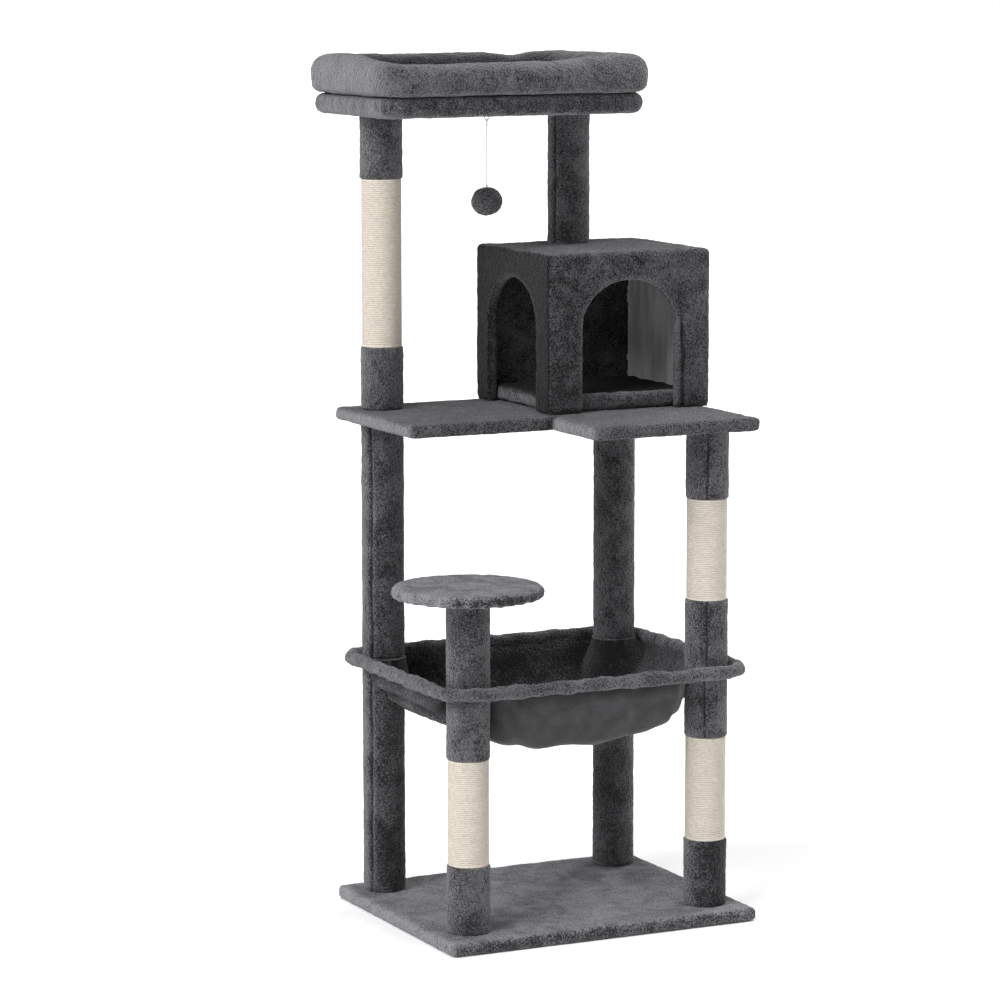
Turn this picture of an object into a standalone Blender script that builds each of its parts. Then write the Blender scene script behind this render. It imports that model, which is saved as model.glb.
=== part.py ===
"""Cat tree: plush-covered boards on stacked posts, with a cave, a hammock, a bed and a toy ball.

Metres, +Z up. The origin is on the floor under the middle of the base.
+X runs to the right along the long front edge, +Y to the back.
"""
import math

import bmesh
import bpy
from mathutils import Vector

# Clearance and wall values
GAP = 0.0003                # left between pieces that touch
PLUSH = 0.003               # plush fabric on boards and panels
BOARD = 0.015               # particle board
EDGE_ROUND = 0.004          # soft edge of a covered board

# Base
BASE_WIDTH = 0.554
BASE_DEPTH = 0.454
BOARD_CORNER = 0.008

# Posts
POST_INSET_X = 0.061        # post axis to the base's side edge
POST_INSET_FRONT = 0.071
POST_INSET_BACK = 0.060
CORE_RADIUS = 0.0303        # cardboard tube
CORE_WALL = 0.004
PLUG = 0.018                # wooden plug in each end of a tube
SLEEVE = 0.0044             # plush sleeve on a tube
ROPE = 0.0027               # sisal winding on a tube
LOWER_POST = 0.392
MIDDLE_POST = 0.392
SHORT_POST = 0.147
UPPER_POST = 0.480
LOWER_SISAL = 0.172
MIDDLE_SISAL = 0.166
UPPER_SISAL = 0.275
POST_SIDES = 20

# Fasteners
SCREW_RADIUS = 0.004
SCREW_CLEARANCE = 0.0006
HEAD_RADIUS = 0.009
HEAD_THICKNESS = 0.003
THREAD_REACH = 0.015        # screw length inside the piece it holds
SCREW_SIDES = 12

# Middle board
NOTCH_BESIDE = 0.008        # board left of the cave
NOTCH_BEFORE = 0.026        # board in front of the cave

# Cave
CAVE_WIDTH = 0.298
CAVE_DEPTH = 0.271
CAVE_HEIGHT = 0.260
CAVE_OVERHANG = 0.003       # plush beyond the middle board's right edge
CAVE_BACK_INSET = 0.005
CAVE_ROUND = 0.009
CAVE_POST_SHIFT = 0.003     # post axis left of the cave's middle
PANEL = 0.009
ARCH_WIDTH = 0.174
LINTEL = 0.045              # cave wall above an arch
ARCH_RISE = 0.075           # height of the curved top of an arch
ARCH_STEPS = 12
MAT_THICKNESS = 0.028
MAT_CLEARANCE = 0.003
MAT_ROUND = 0.009

# Round perch
ROUND_RADIUS = 0.121
ROUND_BOARD = 0.012
ROUND_SIDES = 28

# Top perch and bed
PERCH_BEYOND = 0.069        # board past the axis of each of its posts
PERCH_DEPTH = 0.308
PERCH_CORNER = 0.046
PERCH_SHIFT = 0.0055        # perch centre right of the middle between its posts
PERCH_WADDING = 0.009       # padded plush around the top board
PERCH_ROUND = 0.008
BED_OVERHANG = 0.009
BED_HEIGHT = 0.063
BED_RIM = 0.078             # width of the stuffed rim
BED_SECTION = 12
BED_CORNER_STEPS = 5
BED_INNER_CORNER = 0.014    # tightest corner inside the rim

# Hammock
HAMMOCK_CLEARANCE = 0.0065  # between a post and the hem
ROD_RADIUS = 0.003
RIM_RADIUS = 0.011
WEB = 0.003                 # fabric clamped between two post segments
BAG_DEPTH = 0.112
BAG_LENGTHWISE = 2.5        # power of the sag along X
BAG_CROSSWISE = 7.0         # power of the sag along Y
BAG_FULLNESS = 0.6          # power of the whole sag, fuller when smaller
BAG_RINGS = (1.0, 0.95, 0.86, 0.70, 0.48, 0.24)     # loops of the bag's mesh, as shares of its rim
BAG_SIDE_STEPS = 5
BAG_OVERLAP = 0.6           # how far the hem covers the bag's edge, as a share of its radius
BAG_FABRIC = 0.0024
BAG_DROP = 0.0045           # bag's edge below the middle of the hem
ROD_SLIT = 0.030            # length of the seam opening where the rod goes in
RING_SECTION = 8

# Toy
TOY_FORWARD = 0.030         # hanging point in front of the rear posts
EYE_RADIUS = 0.0045
EYE_WIRE = 0.0009
EYE_SHANK = 0.011
LOOP_RADIUS = 0.0030
STRING_RADIUS = 0.0007
BALL_LIFT = 0.0527          # ball above the height of the cave's roof
STRING_STEPS = 23
BALL_RADIUS = 0.0258
BALL_HEIGHT = 0.047

# Positions that follow from the sizes
POST_RADIUS = CORE_RADIUS + GAP + SLEEVE
SISAL_RADIUS = CORE_RADIUS + GAP + ROPE
POST_X = BASE_WIDTH / 2 - POST_INSET_X
POST_FRONT = -BASE_DEPTH / 2 + POST_INSET_FRONT
POST_BACK = BASE_DEPTH / 2 - POST_INSET_BACK
WALL = 2 * PLUSH + 2 * GAP + PANEL
HOLE_RADIUS = SCREW_RADIUS + SCREW_CLEARANCE
ARCH_HEIGHT = CAVE_HEIGHT - LINTEL
HAMMOCK_OFFSET = POST_RADIUS + HAMMOCK_CLEARANCE + RIM_RADIUS      # rod beyond the post axes
WEB_RADIUS = HAMMOCK_OFFSET - RIM_RADIUS / 2
BAG_EDGE = HAMMOCK_OFFSET - BAG_OVERLAP * RIM_RADIUS


def covered(board, skin=PLUSH):
    """Height of a board with fabric above and below it."""
    return board + 2 * (skin + GAP)


BASE_TOP = covered(BOARD)
LOWER_Z = BASE_TOP + GAP
WEB_Z = LOWER_Z + LOWER_POST + GAP
MIDDLE_Z = WEB_Z + WEB + GAP
MID_Z = MIDDLE_Z + MIDDLE_POST + GAP
MID_TOP = MID_Z + covered(BOARD)
UPPER_Z = MID_TOP + GAP
PERCH_Z = UPPER_Z + UPPER_POST + GAP
PERCH_TOP = PERCH_Z + covered(BOARD, PERCH_WADDING)
ROUND_Z = MIDDLE_Z + SHORT_POST + GAP
RIM_Z = WEB_Z + WEB / 2
CAVE_RIGHT = BASE_WIDTH / 2 + CAVE_OVERHANG
CAVE_LEFT = CAVE_RIGHT - CAVE_WIDTH
CAVE_BACK = BASE_DEPTH / 2 - CAVE_BACK_INSET
CAVE_FRONT = CAVE_BACK - CAVE_DEPTH
NOTCH_X = CAVE_LEFT - NOTCH_BESIDE
NOTCH_Y = CAVE_FRONT - NOTCH_BEFORE
CAVE_TOP = UPPER_Z + CAVE_HEIGHT
CAVE_POST_X = (CAVE_LEFT + CAVE_RIGHT) / 2 - CAVE_POST_SHIFT
CAVE_POST_Z = CAVE_TOP + GAP
PERCH_X = (CAVE_POST_X - POST_X) / 2 + PERCH_SHIFT
PERCH_LENGTH = CAVE_POST_X + POST_X + 2 * PERCH_BEYOND
TOY_Y = POST_BACK - TOY_FORWARD
EYE_Z = PERCH_Z - GAP - EYE_RADIUS - EYE_WIRE
LOOP_Z = EYE_Z - EYE_RADIUS + EYE_WIRE + GAP + STRING_RADIUS - LOOP_RADIUS
STRING_TOP = LOOP_Z - LOOP_RADIUS - STRING_RADIUS - GAP
BALL_TOP = CAVE_TOP + BALL_LIFT + BALL_HEIGHT
STRING_LENGTH = STRING_TOP - GAP - BALL_TOP

COLOURS = {
    "plush": ((0.050, 0.050, 0.053), 0.95, 0.0),
    "plush_light": ((0.075, 0.075, 0.079), 0.95, 0.0),
    "knit": ((0.085, 0.085, 0.088), 0.85, 0.0),
    "sisal": ((0.72, 0.64, 0.50), 0.85, 0.0),
    "cardboard": ((0.42, 0.30, 0.18), 0.9, 0.0),
    "board": ((0.50, 0.36, 0.20), 0.8, 0.0),
    "steel": ((0.60, 0.60, 0.62), 0.35, 1.0),
    "string": ((0.85, 0.85, 0.84), 0.8, 0.0),
}


# Tools

def clear_scene():
    for item in list(bpy.data.objects):
        bpy.data.objects.remove(item, do_unlink=True)


def material(name):
    found = bpy.data.materials.get(name)
    if found:
        return found
    colour, roughness, metallic = COLOURS[name]
    made = bpy.data.materials.new(name)
    made.use_nodes = True
    shader = made.node_tree.nodes["Principled BSDF"]
    shader.inputs["Base Color"].default_value = (*colour, 1.0)
    shader.inputs["Roughness"].default_value = roughness
    shader.inputs["Metallic"].default_value = metallic
    return made


def place(name, bm, look, origin=(0.0, 0.0, 0.0), smooth=math.radians(35)):
    """Make an object from a bmesh drawn about the given origin."""
    bm.normal_update()
    bmesh.ops.recalc_face_normals(bm, faces=bm.faces)
    mesh = bpy.data.meshes.new(name)
    bm.to_mesh(mesh)
    bm.free()
    mesh.shade_smooth()
    mesh.set_sharp_from_angle(angle=smooth)
    made = bpy.data.objects.new(name, mesh)
    made.location = origin
    bpy.context.collection.objects.link(made)
    if look:
        mesh.materials.append(material(look))
    return made


def guide(name, bm, origin=(0.0, 0.0, 0.0)):
    """Make a cutter or an added shape that isn't a piece of its own."""
    made = place(name, bm, None, origin)
    made.hide_render = True
    made.display_type = "WIRE"
    return made


def combine(target, other, operation="DIFFERENCE", solver="EXACT"):
    change = target.modifiers.new(other.name, "BOOLEAN")
    change.operation = operation
    change.object = other
    change.solver = solver


def turned(profile, sides, closed=False):
    """Spin (radius, z) points about Z. An open profile starts and ends on the axis."""
    bm = bmesh.new()
    points = [bm.verts.new((radius, 0.0, z)) for radius, z in profile]
    pairs = list(zip(points, points[1:]))
    if closed:
        pairs.append((points[-1], points[0]))
    edges = [bm.edges.new(pair) for pair in pairs]
    bmesh.ops.spin(
        bm, geom=points + edges, cent=(0, 0, 0), axis=(0, 0, 1),
        angle=math.tau, steps=sides, use_merge=True)
    bmesh.ops.remove_doubles(bm, verts=bm.verts, dist=1e-6)
    return bm


def rod_shape(radius, low, high, sides=SCREW_SIDES):
    return turned([(0, low), (radius, low), (radius, high), (0, high)], sides)


def prism(outline, low, high):
    """Extrude a closed outline of (x, y) points from low to high."""
    bm = bmesh.new()
    face = bm.faces.new([bm.verts.new((x, y, low)) for x, y in outline])
    top = bmesh.ops.extrude_face_region(bm, geom=[face])["geom"]
    moved = [item for item in top if isinstance(item, bmesh.types.BMVert)]
    bmesh.ops.translate(bm, vec=(0, 0, high - low), verts=moved)
    return bm


def soften(bm, width, heights, segments=2):
    """Round the level edges that lie at the given heights."""
    def at_height(edge):
        ends = [vert.co.z for vert in edge.verts]
        return any(max(abs(end - height) for end in ends) < 1e-6 for height in heights)

    edges = [edge for edge in bm.edges if at_height(edge)]
    bmesh.ops.bevel(
        bm, geom=edges, offset=width, segments=segments, profile=0.5, affect="EDGES")
    return bm


def block(low, high):
    outline = [(low[0], low[1]), (high[0], low[1]), (high[0], high[1]), (low[0], high[1])]
    return prism(outline, low[2], high[2])


def inset(corners, distance):
    """Move the sides of a right-angled, anticlockwise outline inwards."""
    moved = []
    for index, corner in enumerate(corners):
        here = Vector(corner)
        before = (here - Vector(corners[index - 1])).normalized()
        after = (Vector(corners[(index + 1) % len(corners)]) - here).normalized()
        inward = Vector((-before.y - after.y, before.x + after.x))
        moved.append(tuple(here + inward * distance))
    return moved


def rounded(corners, radius, steps=3):
    """Replace each corner of an outline by an arc."""
    outline = []
    for index, corner in enumerate(corners):
        here = Vector(corner)
        back = (Vector(corners[index - 1]) - here).normalized()
        ahead = (Vector(corners[(index + 1) % len(corners)]) - here).normalized()
        half = back.angle(ahead) / 2
        centre = here + (back + ahead).normalized() * radius / math.sin(half)
        start = here + back * radius / math.tan(half) - centre
        turn = start.angle_signed(here + ahead * radius / math.tan(half) - centre)
        for step in range(steps + 1):
            angle = -turn * step / steps
            arm = Vector((
                start.x * math.cos(angle) - start.y * math.sin(angle),
                start.x * math.sin(angle) + start.y * math.cos(angle)))
            outline.append(tuple(centre + arm))
    return outline


def rectangle(x0, y0, x1, y1):
    return [(x0, y0), (x1, y0), (x1, y1), (x0, y1)]


def circle(radius, sides, centre=(0.0, 0.0)):
    turns = [math.tau * step / sides for step in range(sides)]
    return [(centre[0] + radius * math.cos(a), centre[1] + radius * math.sin(a)) for a in turns]


def join_loops(bm, loops):
    """Faces between each closed loop of vertices and the next, and from the last to the first."""
    for index, loop in enumerate(loops):
        follower = loops[(index + 1) % len(loops)]
        for side in range(len(loop)):
            other = (side + 1) % len(loop)
            bm.faces.new((loop[side], loop[other], follower[other], follower[side]))


def swept(path, section):
    """Carry a closed section of (outward, up) points around a closed level path."""
    bm = bmesh.new()
    rings = []
    for index, here in enumerate(path):
        ahead = Vector(path[(index + 1) % len(path)]) - Vector(path[index - 1])
        out = Vector((ahead.y, -ahead.x)).normalized()
        rings.append([
            bm.verts.new((here[0] + out.x * u, here[1] + out.y * u, v)) for u, v in section])
    join_loops(bm, rings)
    return bm


def ellipse(width, height, sides, rise=0.0):
    turns = [math.tau * step / sides for step in range(sides)]
    return [(width / 2 * math.cos(a), rise + height / 2 * math.sin(a)) for a in turns]


# Boards and their covers

def drill(target, x, y, low, high, radius=HOLE_RADIUS, solver="EXACT"):
    name = f"{target.name}_hole_{len(target.modifiers)}"
    hole = guide(name, rod_shape(radius, low, high), (x, y, 0.0))
    combine(target, hole, solver=solver)


def covered_board(stem, corners, corner_radius, low, thickness, skin, edge_round):
    """A board in a fabric cover that goes all round it."""
    high = low + covered(thickness, skin)
    snug = skin + GAP
    outer = prism(rounded(corners, corner_radius), low, high)
    cover = place(f"{stem}_cover", soften(outer, edge_round, (low, high)), "plush_light")
    room = prism(rounded(inset(corners, skin), corner_radius - skin), low + skin, high - skin)
    combine(cover, guide(f"{stem}_cover_room", room))
    board = prism(rounded(inset(corners, snug), corner_radius - snug), low + snug, high - snug)
    return cover, place(f"{stem}_board", board, "board")


def bolt(name, x, y, head_z, direction, length):
    """A bolt whose flat head starts at head_z and whose shank points up (1) or down (-1)."""
    neck = head_z + direction * HEAD_THICKNESS
    tip = neck + direction * length
    profile = [
        (0, head_z), (HEAD_RADIUS, head_z), (HEAD_RADIUS, neck),
        (SCREW_RADIUS, neck), (SCREW_RADIUS, tip), (0, tip)]
    return place(name, turned(profile, SCREW_SIDES), "steel", (x, y, 0.0))


def sunk_bolt(name, board, cover, x, y, face_z, direction, far_face, skin=PLUSH):
    """Let a bolt head into a board's face, and run the shank through the cover beyond it."""
    pocket = HEAD_THICKNESS + 2 * GAP
    recess = sorted((face_z - direction * skin, face_z + direction * pocket))
    drill(board, x, y, *recess, radius=HEAD_RADIUS + SCREW_CLEARANCE)
    through = sorted((face_z - direction * GAP, far_face + direction * skin))
    drill(board, x, y, *through)
    if cover:
        near = far_face - direction * (skin + 2 * GAP)
        drill(cover, x, y, *sorted((near, far_face + direction * skin)))
    head_z = face_z + direction * GAP
    reach = abs(far_face - head_z) + GAP + THREAD_REACH - HEAD_THICKNESS
    bolt(name, x, y, head_z, direction, reach)


def make_base():
    half_x = BASE_WIDTH / 2
    half_y = BASE_DEPTH / 2
    corners = rectangle(-half_x, -half_y, half_x, half_y)
    cover, board = covered_board("base", corners, BOARD_CORNER, 0.0, BOARD, PLUSH, EDGE_ROUND)
    for name, (x, y) in CORNER_POSTS.items():
        drill(cover, x, y, -PLUSH, PLUSH + GAP, HEAD_RADIUS + 2 * SCREW_CLEARANCE)
        sunk_bolt(f"base_bolt_{name}", board, cover, x, y, PLUSH + GAP, 1, BASE_TOP)


def make_middle_board():
    half_x = BASE_WIDTH / 2
    half_y = BASE_DEPTH / 2
    corners = [
        (-half_x, NOTCH_Y), (NOTCH_X, NOTCH_Y), (NOTCH_X, -half_y),
        (half_x, -half_y), (half_x, half_y), (-half_x, half_y)]
    cover, board = covered_board("middle", corners, BOARD_CORNER, MID_Z, BOARD, PLUSH, EDGE_ROUND)
    drill(cover, -POST_X, POST_BACK, MID_Z - PLUSH, MID_TOP + PLUSH)
    drill(board, -POST_X, POST_BACK, MID_Z, MID_TOP)
    for name in ("front_right", "rear_right"):
        x, y = CORNER_POSTS[name]
        sunk_bolt(f"middle_bolt_{name}", board, cover, x, y, MID_TOP - PLUSH - GAP, -1, MID_Z)


def make_round_perch():
    x, y = CORNER_POSTS["front_left"]
    top = ROUND_Z + covered(ROUND_BOARD)
    outer = prism(circle(ROUND_RADIUS, ROUND_SIDES, (x, y)), ROUND_Z, top)
    cover = place("round_perch_cover", soften(outer, EDGE_ROUND, (ROUND_Z, top)), "plush_light")
    room = prism(
        circle(ROUND_RADIUS - PLUSH, ROUND_SIDES, (x, y)), ROUND_Z + PLUSH, top - PLUSH)
    combine(cover, guide("round_perch_room", room))
    snug = PLUSH + GAP
    disc = prism(circle(ROUND_RADIUS - snug, ROUND_SIDES, (x, y)), ROUND_Z + snug, top - snug)
    board = place("round_perch_board", disc, "board")
    sunk_bolt("round_perch_bolt", board, cover, x, y, top - snug, -1, ROUND_Z)


def perch_corners(overhang=0.0):
    half_x = PERCH_LENGTH / 2 + overhang
    half_y = PERCH_DEPTH / 2 + overhang
    return rectangle(PERCH_X - half_x, POST_BACK - half_y, PERCH_X + half_x, POST_BACK + half_y)


def make_top_perch():
    cover, board = covered_board(
        "top_perch", perch_corners(), PERCH_CORNER, PERCH_Z, BOARD, PERCH_WADDING, PERCH_ROUND)
    face = PERCH_TOP - PERCH_WADDING - GAP
    for name, x in (("left", -POST_X), ("right", CAVE_POST_X)):
        sunk_bolt(
            f"top_perch_bolt_{name}", board, cover, x, POST_BACK, face, -1, PERCH_Z, PERCH_WADDING)
    shank = EYE_WIRE + SCREW_CLEARANCE
    drill(cover, PERCH_X, TOY_Y, PERCH_Z - PLUSH, PERCH_Z + PERCH_WADDING + GAP, shank)
    drill(board, PERCH_X, TOY_Y, PERCH_Z, PERCH_Z + PERCH_WADDING + EYE_SHANK, shank)


def make_bed():
    """A stuffed rim stitched around the top perch."""
    bm = bmesh.new()
    loops = []
    for out, up in ellipse(BED_RIM, BED_HEIGHT, BED_SECTION, PERCH_TOP + GAP + BED_HEIGHT / 2):
        inward = BED_RIM / 2 - out
        corner = max(PERCH_CORNER + BED_OVERHANG - inward, BED_INNER_CORNER)
        outline = rounded(inset(perch_corners(BED_OVERHANG), inward), corner, BED_CORNER_STEPS)
        loops.append([bm.verts.new((x, y, up)) for x, y in outline])
    join_loops(bm, loops)
    place("bed_rim", bm, "plush")


# Posts

def post_core(name, x, y, low, length, stud=0.0):
    """A tube with a plug in each end. A stud stands up from the top where one is given."""
    high = low + length
    bore = CORE_RADIUS - CORE_WALL
    if stud:
        outside = [(SCREW_RADIUS, high), (SCREW_RADIUS, high + stud), (0, high + stud)]
        inside = [(0, high - PLUG)]
    else:
        outside = [(HOLE_RADIUS, high), (HOLE_RADIUS, high - PLUG)]
        inside = []
    profile = [(CORE_RADIUS, low), (CORE_RADIUS, high)] + outside
    hollow = inside + [
        (bore, high - PLUG), (bore, low + PLUG), (HOLE_RADIUS, low + PLUG), (HOLE_RADIUS, low)]
    if stud:
        bm = turned(profile, POST_SIDES)
        lower = turned(hollow + [(CORE_RADIUS, low)], POST_SIDES)
        mesh = bpy.data.meshes.new("core_inside")
        lower.to_mesh(mesh)
        lower.free()
        bm.from_mesh(mesh)
        bpy.data.meshes.remove(mesh)
        bmesh.ops.remove_doubles(bm, verts=bm.verts, dist=1e-6)
    else:
        bm = turned(profile + hollow, POST_SIDES, closed=True)
    place(f"core_{name}", bm, "cardboard", (x, y, 0.0))


def sleeve(name, x, y, low, high, radius, look):
    inner = CORE_RADIUS + GAP
    profile = [(inner, low), (radius, low), (radius, high), (inner, high)]
    place(name, turned(profile, POST_SIDES, closed=True), look, (x, y, 0.0))


def post(name, x, y, low, length, sisal=0.0, stud=0.0):
    """One post segment: core, plush, and a band of sisal in its middle where one is given."""
    post_core(name, x, y, low, length, stud)
    high = low + length
    if not sisal:
        sleeve(f"plush_{name}", x, y, low, high, POST_RADIUS, "plush")
        return
    start = low + (length - sisal) / 2
    stop = start + sisal
    sleeve(f"plush_{name}_bottom", x, y, low, start - GAP, POST_RADIUS, "plush")
    sleeve(f"sisal_{name}", x, y, start, stop, SISAL_RADIUS, "sisal")
    sleeve(f"plush_{name}_top", x, y, stop + GAP, high, POST_RADIUS, "plush")


CORNER_POSTS = {
    "front_left": (-POST_X, POST_FRONT),
    "front_right": (POST_X, POST_FRONT),
    "rear_left": (-POST_X, POST_BACK),
    "rear_right": (POST_X, POST_BACK),
}


def make_posts():
    web_stud = WEB + 2 * GAP + THREAD_REACH
    board_stud = covered(BOARD) + 2 * GAP + THREAD_REACH
    for name, (x, y) in CORNER_POSTS.items():
        wound = LOWER_SISAL if name.startswith("front") else 0.0
        post(f"{name}_lower", x, y, LOWER_Z, LOWER_POST, wound, web_stud)
    post("front_left_middle", *CORNER_POSTS["front_left"], MIDDLE_Z, SHORT_POST)
    post("front_right_middle", *CORNER_POSTS["front_right"], MIDDLE_Z, MIDDLE_POST, MIDDLE_SISAL)
    post("rear_right_middle", *CORNER_POSTS["rear_right"], MIDDLE_Z, MIDDLE_POST)
    post("rear_left_middle", *CORNER_POSTS["rear_left"], MIDDLE_Z, MIDDLE_POST, 0.0, board_stud)
    post("rear_left_upper", *CORNER_POSTS["rear_left"], UPPER_Z, UPPER_POST, UPPER_SISAL)
    post("cave_post", CAVE_POST_X, POST_BACK, CAVE_POST_Z, PERCH_Z - GAP - CAVE_POST_Z)


# Cave

def arch_outline(grow):
    """Half-oval arch standing on the floor line, grown by the given distance."""
    half = ARCH_WIDTH / 2 + grow
    spring = ARCH_HEIGHT - ARCH_RISE
    rise = ARCH_RISE + grow
    points = [(half, -WALL)]
    for step in range(ARCH_STEPS + 1):
        angle = math.pi * step / ARCH_STEPS
        points.append((half * math.cos(angle), spring + rise * math.sin(angle)))
    points.append((-half, -WALL))
    return points


def arch(name, face, grow):
    """A prism through the front or the left wall of the cave."""
    bm = prism(arch_outline(grow), 0.0, 2 * WALL)
    centre_x = (CAVE_LEFT + CAVE_RIGHT) / 2
    centre_y = (CAVE_FRONT + CAVE_BACK) / 2
    for vert in bm.verts:
        along, up, depth = vert.co
        if face == "front":
            vert.co = (centre_x + along, CAVE_FRONT - WALL / 2 + depth, UPPER_Z + up)
        else:
            vert.co = (CAVE_LEFT - WALL / 2 + depth, centre_y - along, UPPER_Z + up)
    return guide(name, bm)


def cave_box(margin, top_margin, floor):
    low = (CAVE_LEFT + margin, CAVE_FRONT + margin, floor)
    high = (CAVE_RIGHT - margin, CAVE_BACK - margin, CAVE_TOP - top_margin)
    return block(low, high)


def make_cave_cover():
    """Fabric over both faces of the walls, joined around the two arches, open underneath."""
    outer = cave_box(0.0, 0.0, UPPER_Z)
    edges = [edge for edge in outer.edges if max(vert.co.z for vert in edge.verts) > UPPER_Z + PLUSH]
    bmesh.ops.bevel(
        outer, geom=edges, offset=CAVE_ROUND, segments=3, profile=0.5, affect="EDGES")
    cover = place("cave_cover", outer, "plush")
    below = UPPER_Z - WALL
    slot = guide("cave_slot", cave_box(PLUSH, PLUSH, below))
    kept = PLUSH + 2 * GAP + PANEL
    combine(slot, guide("cave_lining", cave_box(kept, kept, below - WALL)))
    for face in ("front", "left"):
        combine(slot, arch(f"cave_arch_rim_{face}", face, PLUSH))
    combine(cover, slot)
    combine(cover, guide("cave_room", cave_box(WALL, WALL, below)))
    for face in ("front", "left"):
        combine(cover, arch(f"cave_arch_{face}", face, 0.0))
    return cover


def make_cave_panels(cover):
    edge = PLUSH + GAP
    left, right = CAVE_LEFT + edge, CAVE_RIGHT - edge
    front, back = CAVE_FRONT + edge, CAVE_BACK - edge
    roof_top = CAVE_TOP - edge
    roof_low = roof_top - PANEL
    wall_top = roof_low - GAP
    side_front, side_back = front + PANEL + GAP, back - PANEL - GAP
    boxes = {
        "front": ((left, front, UPPER_Z), (right, front + PANEL, wall_top)),
        "back": ((left, back - PANEL, UPPER_Z), (right, back, wall_top)),
        "left": ((left, side_front, UPPER_Z), (left + PANEL, side_back, wall_top)),
        "right": ((right - PANEL, side_front, UPPER_Z), (right, side_back, wall_top)),
        "roof": ((left, front, roof_low), (right, back, roof_top)),
    }
    panels = {
        name: place(f"cave_panel_{name}", block(low, high), "board")
        for name, (low, high) in boxes.items()}
    for face in ("front", "left"):
        combine(panels[face], arch(f"cave_panel_arch_{face}", face, edge))
    sunk_bolt("cave_roof_bolt", panels["roof"], cover, CAVE_POST_X, POST_BACK, roof_low, 1, CAVE_TOP)


def make_cave_mat():
    """Loose cushion on the cave's floor."""
    margin = WALL + MAT_CLEARANCE
    corners = rectangle(
        CAVE_LEFT + margin, CAVE_FRONT + margin, CAVE_RIGHT - margin, CAVE_BACK - margin)
    top = UPPER_Z + MAT_THICKNESS
    bm = soften(prism(rounded(corners, 2 * MAT_ROUND), UPPER_Z, top), MAT_ROUND, (UPPER_Z, top))
    place("cave_mat", bm, "plush_light")


def make_cave():
    cover = make_cave_cover()
    make_cave_panels(cover)
    make_cave_mat()


# Hammock

def hammock_path(offset=HAMMOCK_OFFSET):
    """A loop beyond the post axes: straight sides and corners that go round the posts."""
    corners = rectangle(-POST_X - offset, POST_FRONT - offset, POST_X + offset, POST_BACK + offset)
    return rounded(corners, offset, 4)


def bag_sag(x, y):
    """Share of the bag's full depth at a point: none at the rod and around the posts."""
    middle = (POST_FRONT + POST_BACK) / 2
    across = abs(x) / (POST_X + BAG_EDGE)
    along = abs(y - middle) / ((POST_BACK - POST_FRONT) / 2 + BAG_EDGE)
    bowl = max(0.0, 1 - across ** BAG_LENGTHWISE) * max(0.0, 1 - along ** BAG_CROSSWISE)
    nearest = min(math.dist((x, y), post) for post in CORNER_POSTS.values())
    free = min(1.0, max(0.0, nearest / POST_RADIUS - 1))
    return bowl ** BAG_FULLNESS * math.sin(free * math.pi / 2)


def bag_shell():
    """The sagging fabric from the rod inwards, as a thin closed shell."""
    middle = (POST_FRONT + POST_BACK) / 2
    outline = []
    corners = hammock_path(BAG_EDGE)
    for index, point in enumerate(corners):
        follower = corners[(index + 1) % len(corners)]
        pieces = BAG_SIDE_STEPS if math.dist(point, follower) > 2 * HAMMOCK_OFFSET else 1
        for piece in range(pieces):
            share = piece / pieces
            outline.append(tuple(a + (b - a) * share for a, b in zip(point, follower)))
    bm = bmesh.new()

    def level(x, y, side):
        return RIM_Z - BAG_DROP + side * BAG_FABRIC / 2 - BAG_DEPTH * bag_sag(x, y)

    sheets = []
    for side in (1, -1):
        loops = []
        for share in BAG_RINGS:
            spots = [(x * share, middle + (y - middle) * share) for x, y in outline]
            loops.append([bm.verts.new((x, y, level(x, y, side))) for x, y in spots])
        for outer, inner in zip(loops, loops[1:]):
            for index in range(len(outer)):
                other = (index + 1) % len(outer)
                bm.faces.new((outer[index], outer[other], inner[other], inner[index]))
        hub = bm.verts.new((0.0, middle, level(0.0, middle, side)))
        last = loops[-1]
        for index in range(len(last)):
            bm.faces.new((last[index], last[(index + 1) % len(last)], hub))
        sheets.append(loops[0])
    upper, lower = sheets
    for index in range(len(upper)):
        other = (index + 1) % len(upper)
        bm.faces.new((upper[index], upper[other], lower[other], lower[index]))
    bmesh.ops.triangulate(bm, faces=bm.faces)
    return bm


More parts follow.
